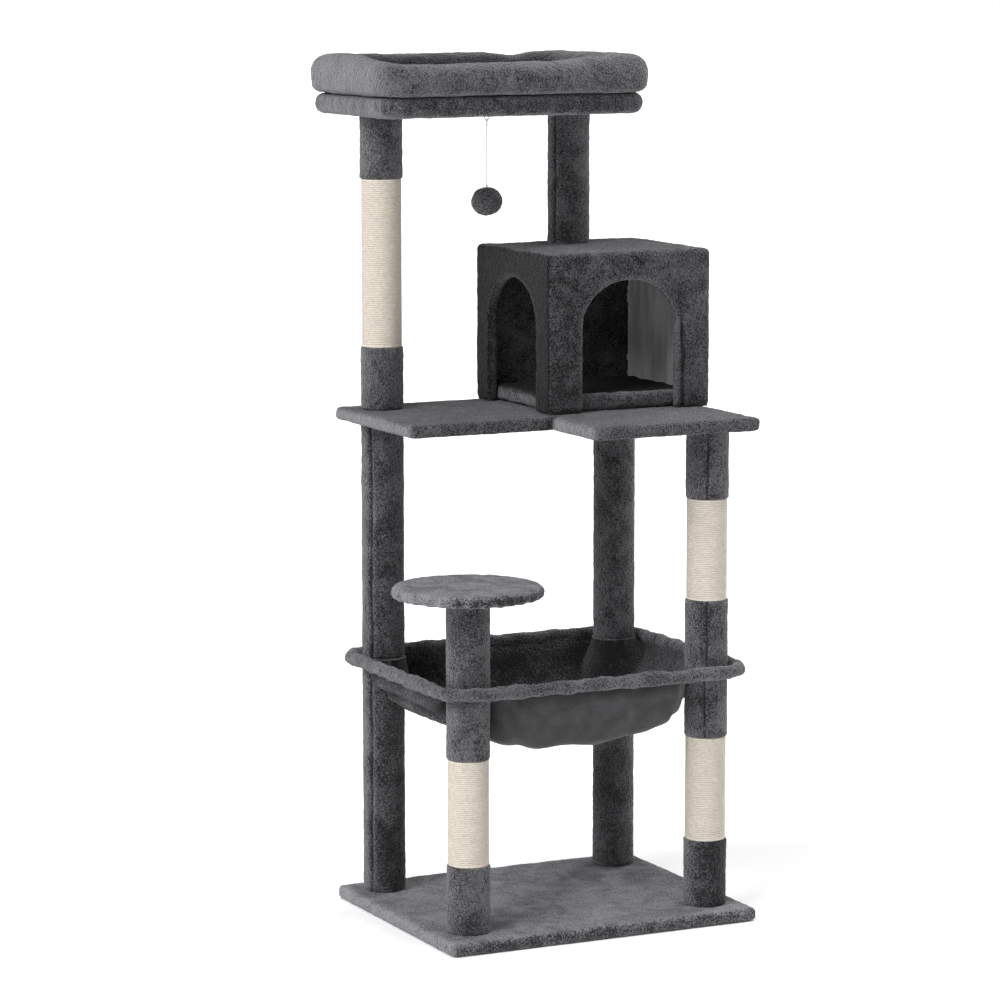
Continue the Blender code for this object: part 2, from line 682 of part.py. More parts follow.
def make_hammock():
    """A steel rod loop in a padded hem, with the bag and the four clamped corners sewn on."""
    path = hammock_path()
    round_rod = ellipse(2 * ROD_RADIUS, 2 * ROD_RADIUS, RING_SECTION, RIM_Z)
    place("hammock_rod", swept(path, round_rod), "steel")

    cloth = place("hammock_cloth", bag_shell(), "knit")
    sewn = "MANIFOLD"
    for name, (x, y) in CORNER_POSTS.items():
        reach = POST_RADIUS + 2 * GAP
        clear = prism(circle(reach, POST_SIDES, (x, y)), RIM_Z - 2 * BAG_DEPTH, WEB_Z + 2 * WEB)
        combine(cloth, guide(f"hammock_post_space_{name}", clear), solver=sewn)
    for name, (x, y) in CORNER_POSTS.items():
        web = prism(circle(WEB_RADIUS, POST_SIDES, (x, y)), WEB_Z, WEB_Z + WEB)
        combine(cloth, guide(f"hammock_web_{name}", web), "UNION", sewn)
    hem = swept(path, ellipse(2 * RIM_RADIUS, 2 * RIM_RADIUS, RING_SECTION, RIM_Z))
    combine(cloth, guide("hammock_hem", hem), "UNION", sewn)
    channel = ROD_RADIUS + 2 * GAP
    hollow = swept(path, ellipse(2 * channel, 2 * channel, RING_SECTION, RIM_Z))
    combine(cloth, guide("hammock_channel", hollow), solver=sewn)
    back = POST_BACK + HAMMOCK_OFFSET
    slit = block(
        (-ROD_SLIT / 2, back - ROD_RADIUS, RIM_Z - 2 * RIM_RADIUS),
        (ROD_SLIT / 2, back + ROD_RADIUS, RIM_Z))
    combine(cloth, guide("hammock_slit", slit), solver=sewn)
    for name, (x, y) in CORNER_POSTS.items():
        drill(cloth, x, y, WEB_Z - WEB, WEB_Z + 2 * WEB, solver=sewn)


# Toy

def make_toy():
    """Screw eye, string loop, string and ball. The string and ball swing at the eye."""
    ring = turned(
        [(EYE_RADIUS + u, v) for u, v in ellipse(2 * EYE_WIRE, 2 * EYE_WIRE, 8)], 16, closed=True)
    for vert in ring.verts:
        vert.co = (vert.co.x, vert.co.z, vert.co.y)
    eye = place("toy_screw_eye", ring, "steel", (PERCH_X, TOY_Y, EYE_Z))
    shank = rod_shape(EYE_WIRE, EYE_RADIUS, EYE_RADIUS + EYE_SHANK + PERCH_WADDING, 8)
    combine(eye, guide("toy_eye_shank", shank, (PERCH_X, TOY_Y, EYE_Z)), "UNION")

    loop = turned(
        [(LOOP_RADIUS + u, v) for u, v in ellipse(2 * STRING_RADIUS, 2 * STRING_RADIUS, 8)],
        16, closed=True)
    for vert in loop.verts:
        vert.co = (vert.co.z, vert.co.x, vert.co.y)
    place("toy_string_loop", loop, "string", (PERCH_X, TOY_Y, LOOP_Z))

    pivot = LOOP_Z - LOOP_RADIUS
    curve = bpy.data.curves.new("toy_string", "CURVE")
    curve.dimensions = "3D"
    curve.bevel_depth = STRING_RADIUS
    curve.bevel_resolution = 2
    curve.use_fill_caps = True
    spline = curve.splines.new("POLY")
    spline.points.add(STRING_STEPS)
    for index, point in enumerate(spline.points):
        point.co = (0.0, 0.0, STRING_TOP - pivot - STRING_LENGTH * index / STRING_STEPS, 1.0)
    curve.materials.append(material("string"))
    string = bpy.data.objects.new("toy_string", curve)
    string.location = (PERCH_X, TOY_Y, pivot)
    bpy.context.collection.objects.link(string)

    ball = bmesh.new()
    bmesh.ops.create_uvsphere(ball, u_segments=16, v_segments=10, radius=BALL_RADIUS)
    squeeze = BALL_HEIGHT / (2 * BALL_RADIUS)
    for vert in ball.verts:
        vert.co.z = (vert.co.z - BALL_RADIUS) * squeeze
    place("toy_ball", ball, "plush", (PERCH_X, TOY_Y, BALL_TOP))


clear_scene()
make_base()
make_posts()
make_middle_board()
make_cave()
make_round_perch()
make_top_perch()
make_bed()
make_hammock()
make_toy()
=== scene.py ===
import math

import bmesh
import bpy
from mathutils import Matrix, Vector, noise


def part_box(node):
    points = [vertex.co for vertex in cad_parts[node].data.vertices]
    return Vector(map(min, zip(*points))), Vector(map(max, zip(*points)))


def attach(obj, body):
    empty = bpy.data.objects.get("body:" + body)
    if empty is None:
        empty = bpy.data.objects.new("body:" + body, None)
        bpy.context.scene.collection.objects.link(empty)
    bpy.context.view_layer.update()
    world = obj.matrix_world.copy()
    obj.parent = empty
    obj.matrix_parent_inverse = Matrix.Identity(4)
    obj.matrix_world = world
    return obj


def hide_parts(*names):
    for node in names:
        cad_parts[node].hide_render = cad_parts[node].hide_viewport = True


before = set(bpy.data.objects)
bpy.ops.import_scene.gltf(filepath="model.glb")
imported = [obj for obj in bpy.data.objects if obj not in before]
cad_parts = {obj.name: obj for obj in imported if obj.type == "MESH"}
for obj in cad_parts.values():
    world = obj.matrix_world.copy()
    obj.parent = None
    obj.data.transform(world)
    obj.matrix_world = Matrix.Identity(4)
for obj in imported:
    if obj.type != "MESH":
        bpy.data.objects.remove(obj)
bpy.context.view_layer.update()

scene = bpy.context.scene
print("frame loaded,", len(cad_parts), "nodes")

# what every shape is merged and rounded with
shaping = {"mergeWithin": 0.00002, "cornerSteps": 6, "edgeSteps": 4}


def hexColour(code):  # an sRGB hex value as the linear colour that shaders take
    parts = [int(code[at:at + 2], 16) / 255 for at in (1, 3, 5)]
    return tuple(p / 12.92 if p <= 0.04045 else ((p + 0.055) / 1.055) ** 2.4 for p in parts) + (1.0,)


def addNode(tree, kind, inputs=None, out=0, **settings):  # an input is a value or another node's output
    node = tree.nodes.new("ShaderNode" + kind)
    for name, value in settings.items():
        setattr(node, name, value)
    for name, value in (inputs or {}).items():
        if isinstance(value, bpy.types.NodeSocket):
            tree.links.new(value, node.inputs[name])
        else:
            node.inputs[name].default_value = value
    return node.outputs[out] if node.outputs else None


def objectFrom(bm, name):
    mesh = bpy.data.meshes.new(name)
    bm.to_mesh(mesh)
    bm.free()
    made = bpy.data.objects.new(name, mesh)
    scene.collection.objects.link(made)
    return made


def wearBy(piece, material, body, slot, *nodes):  # a finished piece gets its material and body, and the CAD nodes it stands for are hidden; slot is not used
    piece.data.materials.append(material)
    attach(piece, body)
    if nodes:
        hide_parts(*nodes)


def pieceFrom(bm, name, material, body, slot, *nodes):
    piece = objectFrom(bm, name)
    piece.data.shade_smooth()
    wearBy(piece, material, body, slot, *nodes)
    return piece


def copyOf(node):  # a CAD node's shape with its doubles merged
    bm = bmesh.new()
    bm.from_mesh(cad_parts[node].data)
    bmesh.ops.remove_doubles(bm, verts=bm.verts, dist=shaping["mergeWithin"])
    return bm


def evenMesh(bm, voxel, cutters=()):  # the same solid in even quads, after its cutters are taken out
    rough = objectFrom(bm, "rough")
    for cutter in cutters:
        cut = rough.modifiers.new("cut", "BOOLEAN")
        cut.object = cutter
        cut.solver = "EXACT"
    even = rough.modifiers.new("even", "REMESH")
    even.mode = "VOXEL"
    even.voxel_size = voxel
    made = bmesh.new()
    made.from_object(rough, bpy.context.evaluated_depsgraph_get())
    for used in (rough, *cutters):
        bpy.data.objects.remove(used)
    return made


def bevelled(bm, edges, offset, segments):
    bmesh.ops.bevel(
        bm, geom=edges, offset=offset, affect="EDGES", segments=segments, profile=0.5, material=-1)


def slab(corners, low, high, cornerRound, edgeRound):  # a flat solid with round corners and soft edges
    bm = bmesh.new()
    face = bm.faces.new([bm.verts.new((x, y, low)) for x, y in corners])
    raised = bmesh.ops.extrude_face_region(bm, geom=[face])["geom"]
    bmesh.ops.translate(
        bm, verts=[v for v in raised if isinstance(v, bmesh.types.BMVert)], vec=(0, 0, high - low))
    bmesh.ops.recalc_face_normals(bm, faces=bm.faces)
    if cornerRound:  # a corner that points inwards stays sharp
        bm.normal_update()
        upright = [e for e in bm.edges if abs(e.verts[0].co.z - e.verts[1].co.z) > edgeRound and e.is_convex]
        bevelled(bm, upright, cornerRound, shaping["cornerSteps"])
    bm.normal_update()
    rims = [e for e in bm.edges if len({abs(f.normal.z) > 0.5 for f in e.link_faces}) == 2]
    bevelled(bm, rims, edgeRound, shaping["edgeSteps"])
    return bm


def rectangle(low, high):
    return [(low[0], low[1]), (high[0], low[1]), (high[0], high[1]), (low[0], high[1])]


def ruffle(bm, waves, extra=None):  # moves each vertex along its normal by soft noises of (length, height)
    bm.normal_update()
    for vert in bm.verts:
        lift = sum(noise.noise(vert.co / length) * height for length, height in waves)
        if extra:
            lift += extra(vert.co, vert.normal)
        vert.co += vert.normal * lift


def addRoom(bm, node, gap=0.0003):  # the hidden space for the board inside a cover, a little larger than it
    board = copyOf(node)
    bmesh.ops.recalc_face_normals(board, faces=board.faces)
    board.normal_update()
    for vert in board.verts:
        vert.co += vert.normal * gap
    bmesh.ops.reverse_faces(board, faces=board.faces)
    mesh = bpy.data.meshes.new("room")
    board.to_mesh(mesh)
    board.free()
    bm.from_mesh(mesh)
    bpy.data.meshes.remove(mesh)


def addPaintedShading(bm, darkness):  # painted shading of the plush: painted shade in seams, folds and hollows and on faces set darker, and, below zero, painted light
    bm.normal_update()
    layer = bm.verts.layers.float.new("crease")
    for vert in bm.verts:
        vert[layer] = darkness(vert.co, vert.normal)


def soften(bm):
    bmesh.ops.smooth_vert(bm, verts=bm.verts, factor=0.5, use_axis_x=True, use_axis_y=True, use_axis_z=True)


def keepAbove(bm, level):
    for vert in bm.verts:
        vert.co.z = max(vert.co.z, level)


def fade(value, start, length):  # 0 up to the start, 1 a length beyond it
    return min(1.0, max(0.0, (value - start) / length))


def tidied(bm):
    bmesh.ops.remove_doubles(bm, verts=bm.verts, dist=shaping["mergeWithin"])
    bmesh.ops.recalc_face_normals(bm, faces=bm.faces)
    return bm


# the camera's place, its direction and its lens
view = {
    "place": (-2.9166, -5.7544, 1.6072),
    "towards": (0.42479, 0.89406, -0.14215),
    "roll": -0.16,
    "lens": 143.24,
    "shift": (0.0556, 0.0034),
}


def makeCamera():
    forward = Vector(view["towards"]).normalized()
    right = forward.cross((0, 0, 1)).normalized()
    up = right.cross(forward)
    lean = math.radians(view["roll"])
    right, up = right * math.cos(lean) + up * math.sin(lean), up * math.cos(lean) - right * math.sin(lean)
    camera = bpy.data.objects.new("camera", bpy.data.cameras.new("camera"))
    turn = Matrix((right, up, -forward)).transposed().to_4x4()
    camera.matrix_world = Matrix.Translation(view["place"]) @ turn
    camera.data.lens = view["lens"]
    camera.data.shift_x, camera.data.shift_y = view["shift"]
    scene.collection.objects.link(camera)
    scene.camera = camera


makeCamera()
print("camera set")

# each grain is a noise: its size in metres, detail, distortion, stretch, the range of it that counts, and
# what it adds to the colour and to the relief, which is in metres
even = (1, 1, 1)
finishes = {
    # short polyester plush, brushed: matt, in patches where the pile leans another way, and speckled by its
    # tufts, which are drawn as coarse as they need to show
    "plush": {
        "grains": (
            (0.045, 3.0, 0.9, even, (0.32, 0.68), 0.34, 0.0),
            (0.009, 3.0, 0.6, even, (0.0, 1.0), 0.12, 0.8),
            (0.0027, 2.0, 0.4, even, (0.35, 0.65), 0.54, 0.5)),
        "tone": (0.20, 0.82), "relief": 0.0042,
        "surface": {"Roughness": 0.95, "Sheen Roughness": 0.26, "Sheen Tint": hexColour("#C8C8CC"),
                    "Specular IOR Level": 0.2}},
    # brushed warp knit, the plush's reverse: smooth and matt, with stitches under 1 mm, coarsened to show
    "knit": {
        "grains": (
            (0.030, 2.0, 0.4, even, (0.0, 1.0), 0.5, 0.0),
            (0.0016, 2.0, 0.0, even, (0.0, 1.0), 0.5, 1.0)),
        "tone": (0.34, 0.66), "relief": 0.0004,
        "surface": {"Roughness": 0.8, "Sheen Weight": 0.2, "Sheen Roughness": 0.4,
                    "Specular IOR Level": 0.3}},
    # woven lining behind the plush: smooth, with soft upright creases in it
    "lining": {
        "grains": ((0.020, 2.0, 0.2, (1, 1, 0.15), (0.0, 1.0), 1.0, 1.0),),
        "tone": (0.35, 0.65), "relief": 0.002,
        "surface": {"Roughness": 0.7, "Specular IOR Level": 0.3}},
    # twisted sisal rope: matt straw fibres of 0.2 mm, coarsened so that they show, darker in stray strands
    "sisal": {
        "grains": (
            (0.006, 4.0, 0.3, (1, 1, 5), (0.0, 1.0), 0.55, 0.0),
            (0.0012, 3.0, 0.8, even, (0.0, 1.0), 0.45, 1.0)),
        "tone": (0.30, 0.62), "relief": 0.0007,
        "surface": {"Roughness": 0.85, "Specular IOR Level": 0.3}},
    # twisted cotton string: white and matt
    "cotton": {
        "grains": ((0.0012, 1.0, 0.6, (1, 1, 0.5), (0.0, 1.0), 1.0, 1.0),),
        "tone": (0.3, 0.7), "relief": 0.0003,
        "surface": {"Roughness": 0.8, "Specular IOR Level": 0.3}},
    # zinc-plated steel wire and bolts: grey metal with a soft cloudy shine
    "zinc": {
        "grains": ((0.004, 3.0, 0.0, even, (0.0, 1.0), 1.0, 1.0),),
        "tone": (0.3, 0.7), "relief": 0.00005,
        "surface": {"Roughness": 0.34, "Metallic": 1.0}},
    # spiral-wound cardboard tube: brown kraft paper, matt, with fine fibres
    "kraft": {
        "grains": ((0.003, 4.0, 0.4, (1, 1, 4), (0.0, 1.0), 1.0, 1.0),),
        "tone": (0.3, 0.7), "relief": 0.0002,
        "surface": {"Roughness": 0.85, "Specular IOR Level": 0.25}},
    # particle board: pressed straw-coloured chips of 2 to 5 mm, matt
    "chips": {
        "size": 0.004, "relief": 0.0003,
        "surface": {"Roughness": 0.8, "Specular IOR Level": 0.3}},
    # a sheet of white studio paper: matt and almost even
    "paper": {
        "grains": ((0.5, 2.0, 0.0, even, (0.0, 1.0), 1.0, 0.0),),
        "tone": (0.0, 1.0), "relief": 0.0,
        "surface": {"Roughness": 0.9, "Specular IOR Level": 0.1}},
}


def makeMaterial(name, kind, dark, light, pileSheen=0.0):
    finish = finishes[kind]
    surface = dict(finish["surface"])
    material = bpy.data.materials.new(name)
    material.use_nodes = True
    tree = material.node_tree
    tree.nodes.clear()
    where = addNode(tree, "TexCoord", out="Object")
    tone = height = 0.0
    for size, detail, distortion, stretch, (low, high), share, lift in finish.get("grains", ()):
        stretched = addNode(tree, "Mapping", {"Vector": where, "Scale": stretch})
        noisy = addNode(tree, "TexNoise", {
            "Vector": stretched, "Scale": 1 / size, "Detail": detail, "Distortion": distortion})
        grain = addNode(tree, "MapRange", {"Value": noisy, "From Min": low, "From Max": high})
        tone = addNode(tree, "Math", {0: grain, 1: share, 2: tone}, operation="MULTIPLY_ADD")
        height = addNode(tree, "Math", {0: grain, 1: lift, 2: height}, operation="MULTIPLY_ADD")
    if kind == "chips":  # each cell of the pattern is a chip with a tone of its own
        cells = addNode(tree, "TexVoronoi", {"Vector": where, "Scale": 1 / finish["size"]}, "Color")
        tone = height = addNode(tree, "SeparateColor", {"Color": cells})
    if pileSheen:  # the painted shading attribute: painted shade darkens the plush and dulls its sheen, and painted light, below zero, lightens it
        crease = addNode(tree, "Attribute", out="Fac", attribute_name="crease")
        tone = addNode(tree, "Math", {0: tone, 1: crease}, operation="SUBTRACT")
        surface["Sheen Weight"] = addNode(
            tree, "Math", {0: crease, 1: -pileSheen, 2: pileSheen}, operation="MULTIPLY_ADD")
    low, high = finish.get("tone", (0.0, 1.0))
    mixed = addNode(tree, "MapRange", {"Value": tone, "From Min": low, "From Max": high})
    surface["Base Color"] = addNode(
        tree, "Mix", {0: mixed, 6: hexColour(dark), 7: hexColour(light)}, 2, data_type="RGBA")
    surface["Normal"] = addNode(
        tree, "Bump", {"Height": height, "Distance": finish["relief"], "Strength": 1.0})
    shader = addNode(tree, "BsdfPrincipled", surface)
    addNode(tree, "OutputMaterial", {"Surface": shader})
    return material


plush = makeMaterial("charcoalPlush", "plush", "#202022", "#68686B", 0.75)
# a lighter copy of the plush: painted light, for the base, the round perch and the hammock's outer flank
plushPaintedLight = makeMaterial("charcoalPlushTop", "plush", "#28282A", "#8E8E92", 0.45)
# a darker copy of the plush: painted shade, for the cave
plushPaintedShade = makeMaterial("charcoalPlushDark", "plush", "#131315", "#5A5A5D", 0.55)
knit = makeMaterial("warpKnitReverse", "knit", "#29292B", "#454547")
backing = makeMaterial("liningCloth", "lining", "#9A9A9E", "#B6B6BA")
sisalRope = makeMaterial("sisalRope", "sisal", "#AEA394", "#DAD3C9")
cotton = makeMaterial("cottonString", "cotton", "#CFCDC8", "#EFEEEA")
zincSteel = makeMaterial("zincPlatedSteel", "zinc", "#A9ABAE", "#C6C8CA")
cardboard = makeMaterial("kraftCardboard", "kraft", "#8F6C44", "#B48E60")
particleBoard = makeMaterial("particleBoard", "chips", "#A98757", "#D0B283")
print("materials made")

# the toy: its string, the string's loop and knots, and the ball
toy = {
    "stringRadius": 0.0010,
    "stringSteps": 24,
    "loopSteps": 32,
    "roundness": 3,
    "knotSize": 0.0016,
    "knotSteps": 48,
    "knotDepth": 1.2,       # front to back, as a share of its size
    "knotBelow": 0.0034,
    "knotWire": 0.0006,
    "ballDetail": 6,
    "ballWaves": ((0.016, 0.0010), (0.005, 0.0009)),
}


def curveAlong(name, points, radius, roundness, closed=False):
    curve = bpy.data.curves.new(name, "CURVE")
    curve.dimensions = "3D"
    curve.bevel_depth = radius
    curve.bevel_resolution = roundness
    curve.use_fill_caps = True
    spline = curve.splines.new("POLY")
    spline.points.add(len(points) - 1)
    for point, place in zip(spline.points, points):
        point.co = (*place, 1.0)
    spline.use_cyclic_u = closed
    piece = bpy.data.objects.new(name, curve)
    scene.collection.objects.link(piece)
    return piece


def knotAt(name, centre):  # an overhand knot
    size = toy["knotSize"] / 3
    points = []
    for step in range(toy["knotSteps"]):
        t = math.tau * step / toy["knotSteps"]
        points.append((
            centre[0] + size * (math.sin(t) + 2 * math.sin(2 * t)),
            centre[1] - size * math.sin(3 * t) * toy["knotDepth"],
            centre[2] + size * (math.cos(t) - 2 * math.cos(2 * t))))
    knot = curveAlong(name, points, toy["knotWire"], toy["roundness"], True)
    wearBy(knot, cotton, "string", "string")
    return knot


def makeToy():
    low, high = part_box("toy_string")
    x, y = (low.x + high.x) / 2, (low.y + high.y) / 2
    steps = toy["stringSteps"]
    route = [(x, y, high.z + (low.z - high.z) * step / (steps - 1)) for step in range(steps)]
    string = curveAlong("toyString", route, toy["stringRadius"], toy["roundness"])
    wearBy(string, cotton, "string", "string", "toy_string")
    loopLow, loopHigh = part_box("toy_string_loop")
    centre, reach = (loopLow + loopHigh) / 2, (loopHigh.z - loopLow.z) / 2 - toy["stringRadius"]
    turns = [math.tau * step / toy["loopSteps"] for step in range(toy["loopSteps"])]
    ring = [(centre.x, centre.y + reach * math.cos(t), centre.z + reach * math.sin(t)) for t in turns]
    loop = curveAlong("toyStringLoop", ring, toy["stringRadius"], toy["roundness"], True)
    wearBy(loop, cotton, "string_loop", "string", "toy_string_loop")
    upper = knotAt("toyKnotUpper", (x, y, high.z - toy["knotBelow"]))
    lower = knotAt("toyKnotLower", (x, y, low.z + toy["knotBelow"] / 2))

    ballLow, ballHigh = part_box("toy_ball")
    bm = bmesh.new()
    bmesh.ops.create_icosphere(bm, subdivisions=toy["ballDetail"], radius=0.5)
    bmesh.ops.scale(bm, verts=bm.verts, vec=ballHigh - ballLow)
    bmesh.ops.translate(bm, verts=bm.verts, vec=(ballLow + ballHigh) / 2)
    ruffle(bm, toy["ballWaves"])
    pieceFrom(bm, "toyBall", plush, "ball", "plush", "toy_ball")


makeToy()
print("toy made")

# the posts: plush sleeves and sisal windings
post = {
    "around": 108,         # steps round a sleeve
    "step": 0.0045,        # height of a row of the sleeve's mesh
    "skin": 0.0044,        # thickness of a sleeve
    "hem": 0.0022,         # soft turned edge at each end
    "hemBend": 0.3,        # how full the turn is, from 0, square, to 0.5, cut off straight
    "seamDepth": 0.0026,
    "seamHalf": 0.0019,
    "seamShade": 0.38,
    "seamWander": 0.05,    # in radians, from side to side
    "seamTurns": 12,       # how quickly it wanders, per metre
    "ridgeBeside": 0.009,  # the pile stands up beside the seam
    "ridgeHalf": 0.005,
    "ridgeHeight": 0.0008,
    "waves": ((0.050, 0.0006), (0.014, 0.0005), (0.0060, 0.0008)),
    "rope": 0.0031,        # rope thickness, which is also the winding's pitch
    "ropeSteps": 44,
    "ropeSwell": 0.53,     # radius as a share of the pitch, so that the turns press on each other
    "ropeWave": (0.006, 0.0004),
    "ropeDrift": (0.018, 0.0003),
    # painted shade on some sleeves, most on the side that faces right
    "dim": {
        "plush_rear_left_lower": 0.24, "plush_rear_left_middle": 0.10,
        "plush_front_right_lower_bottom": 0.36,
    },
    # where each sleeve's seam faces, in degrees from +X
    "seams": {
        "plush_rear_left_lower": 211, "plush_rear_left_middle": 214,
        "plush_rear_right_lower": 20, "plush_rear_right_middle": 20,
        "plush_cave_post": 204, "plush_front_left_middle": 40,
        "plush_front_left_lower": 60, "plush_front_right_lower": 238,
        "plush_front_right_middle": 242, "plush_front_right_lower_bottom": 60,
        "plush_rear_left_upper": 30,
    },
}


def sleeveShape(node, seam, dim):
    low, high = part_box(node)
    middle, radius = (low + high) / 2, (high.x - low.x) / 2
    inner, hem = radius - post["skin"], post["hem"]
    bm = bmesh.new()
    bend = hem * post["hemBend"]
    profile = [
        (inner, low.z), (radius - hem, low.z), (radius - bend, low.z + bend), (radius, low.z + hem),
        (radius, high.z - hem), (radius - bend, high.z - bend), (radius - hem, high.z), (inner, high.z)]
    corners = [bm.verts.new((middle.x + r, middle.y, z)) for r, z in profile]
    edges = [bm.edges.new((a, b)) for a, b in zip(corners, corners[1:] + corners[:1])]
    rows = max(2, round((high.z - low.z) / post["step"]))
    bmesh.ops.subdivide_edges(bm, edges=[edges[3]], cuts=rows)
    bmesh.ops.spin(bm, geom=bm.verts[:] + bm.edges[:], cent=middle, axis=(0, 0, 1), angle=math.tau,
                   steps=post["around"], use_merge=True)
    tidied(bm)
    layer = bm.verts.layers.float.new("crease")
    for vert in bm.verts:
        arm = Vector((vert.co.x - middle.x, vert.co.y - middle.y, 0))
        if arm.length < (inner + radius - hem) / 2:  # the inside stays smooth
            continue
        lift = sum(noise.noise(vert.co / length) * height for length, height in post["waves"])
        sway = noise.noise(Vector((seam, 0, vert.co.z * post["seamTurns"])))
        wander = math.radians(seam) + post["seamWander"] * sway
        off = (math.atan2(arm.y, arm.x) - wander + math.pi) % math.tau - math.pi
        fold = math.exp(-(off * radius / post["seamHalf"]) ** 2)
        ridge = math.exp(-((abs(off) * radius - post["ridgeBeside"]) / post["ridgeHalf"]) ** 2)
        lift += post["ridgeHeight"] * ridge - post["seamDepth"] * fold
        # painted shade in the seam's groove, and painted shade on the dimmed sleeves, most on the side that
        # faces right
        vert[layer] = post["seamShade"] * fold + dim * (0.5 + 0.5 * (arm.x - arm.y) / arm.length)
        vert.co += arm.normalized() * lift
    return bm


def makeRope(name, node):
    low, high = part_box(node)
    middle, radius = (low + high) / 2, (high.x - low.x) / 2
    turns = round((high.z - low.z) / post["rope"]) + 1
    thick = (high.z - low.z) / (turns - 1)
    points = []
    for step in range(turns * post["ropeSteps"] + 1):
        turn = step / post["ropeSteps"]
        rise = min(max(turn - 1, 0), turns - 2)  # the first and last turns lie flat against the sleeves
        angle = math.tau * turn
        reach = radius - thick * 0.5
        place = Vector((reach * math.cos(angle), reach * math.sin(angle), thick * (rise + 0.5)))
        points.append(place + Vector((middle.x, middle.y, low.z)))
    rope = curveAlong(name, points, thick * post["ropeSwell"], 1)
    bm = bmesh.new()
    bm.from_mesh(rope.evaluated_get(bpy.context.evaluated_depsgraph_get()).to_mesh())
    bpy.data.objects.remove(rope)
    waveLength, waveHeight = post["ropeWave"]
    driftLength, driftHeight = post["ropeDrift"]
    for vert in bm.verts:
        arm = Vector((vert.co.x - middle.x, vert.co.y - middle.y, 0)).normalized()
        vert.co += arm * (waveHeight * noise.noise(vert.co / waveLength))
        vert.co.z += driftHeight * noise.noise(vert.co / driftLength)
        vert.co.z = min(max(vert.co.z, low.z), high.z)
    return pieceFrom(bm, name, sisalRope, "tree", "sisal", node)


def camelName(node):
    first, *rest = node.split("_")
    return first + "".join(word.capitalize() for word in rest)


def makePosts():
    for node in sorted(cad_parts):
        if node.startswith("plush_"):
            stem = node.removesuffix("_top").removesuffix("_bottom")
            dim = max([share for start, share in post["dim"].items() if node.startswith(start)], default=0.0)
            bm = sleeveShape(node, post["seams"].get(node, post["seams"].get(stem)), dim)
            pieceFrom(bm, camelName(node), plush, "tree", "plush", node)
        elif node.startswith("sisal_"):
            makeRope(camelName(node), node)


makePosts()
print("posts made")

# the covered boards
boards = {
    "voxel": 0.004,
    "waves": ((0.070, 0.0007), (0.016, 0.0006), (0.007, 0.0007)),
    "edgeRound": 0.006,
    "corner": 0.010,
    "baseSide": 0.22,       # painted shade on the sides, against the top
    # below zero: painted light on the middle board's sides
    "middleSide": -0.18,
    "leftLight": 0.40,      # painted light on the sides that face left
    "middleShade": 0.22,    # painted shade over the whole middle board
    "pinch": 0.030,         # the fabric's fold at the notch: its length, half width, painted shade and depth
    "pinchHalf": 0.006,
    "pinchShade": 0.55,
    "pinchDepth": 0.0030,
    "pinchSpill": 0.004,    # how far the fold runs on past the corner
    "notchBeside": 0.008,   # board left of the cave
    "notchBefore": 0.026,   # board in front of the cave
}


def makeCover(name, corners, cover, board, material, cornerRound, edgeRound, sideShade,
              extra=None, fold=None):
    low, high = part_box(cover)
    bm = evenMesh(slab(corners, low.z, high.z, cornerRound, edgeRound), boards["voxel"])
    soften(bm)
    ruffle(bm, boards["waves"], extra)
    keepAbove(bm, 0.0)
    # painted shade on the sides, painted light on the sides that face left, and any painted shade of a fold
    addPaintedShading(bm, lambda place, normal: (
        sideShade * (1 - abs(normal.z)) - boards["leftLight"] * max(0.0, -normal.x)
        + (fold(place) if fold else 0.0)))
    addRoom(bm, board)
    return pieceFrom(bm, name, material, "tree", "plush", cover)


def makeBoards():
    low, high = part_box("base_cover")
    # the base wears the lighter copy of the plush: painted light
    makeCover("baseCover", rectangle(low, high), "base_cover", "base_board", plushPaintedLight,
              boards["corner"], boards["edgeRound"], boards["baseSide"])
    low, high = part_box("middle_cover")
    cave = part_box("cave_cover")[0]
    notchX, notchY = cave.x - boards["notchBeside"], cave.y - boards["notchBefore"]
    outline = [(low.x, notchY), (notchX, notchY), (notchX, low.y), (high.x, low.y), (high.x, high.y),
               (low.x, high.y)]

    def pinch(place):  # painted shade in the fabric's fold where it is tucked into the notch, over the middle board's painted shade
        away = math.hypot(place.x - notchX, place.y - notchY)
        toward = abs((place.x - notchX) - (place.y - notchY)) / math.sqrt(2)
        if max(place.x - notchX, place.y - notchY) < -boards["pinchSpill"]:
            return boards["middleShade"]
        fold = math.exp(-(away / boards["pinch"]) ** 2 - (toward / boards["pinchHalf"]) ** 2)
        return boards["middleShade"] + boards["pinchShade"] * fold

    def tuck(place, normal):
        return boards["pinchDepth"] * (boards["middleShade"] - pinch(place))

    makeCover("middleCover", outline, "middle_cover", "middle_board", plush,
              boards["corner"], boards["edgeRound"], boards["middleSide"], tuck, pinch)


makeBoards()
print("boards covered")

# the round perch, whose cover is drawn in below
roundPerch = {
    "around": 96,
    "edgeRound": 0.008,
    "sideShade": 0.34,
    "gathers": 31,
    "gatherDepth": 0.0022,
    "gatherFrom": 0.012,    # distance in from the edge at which the folds begin
    "gatherFade": 0.010,
}


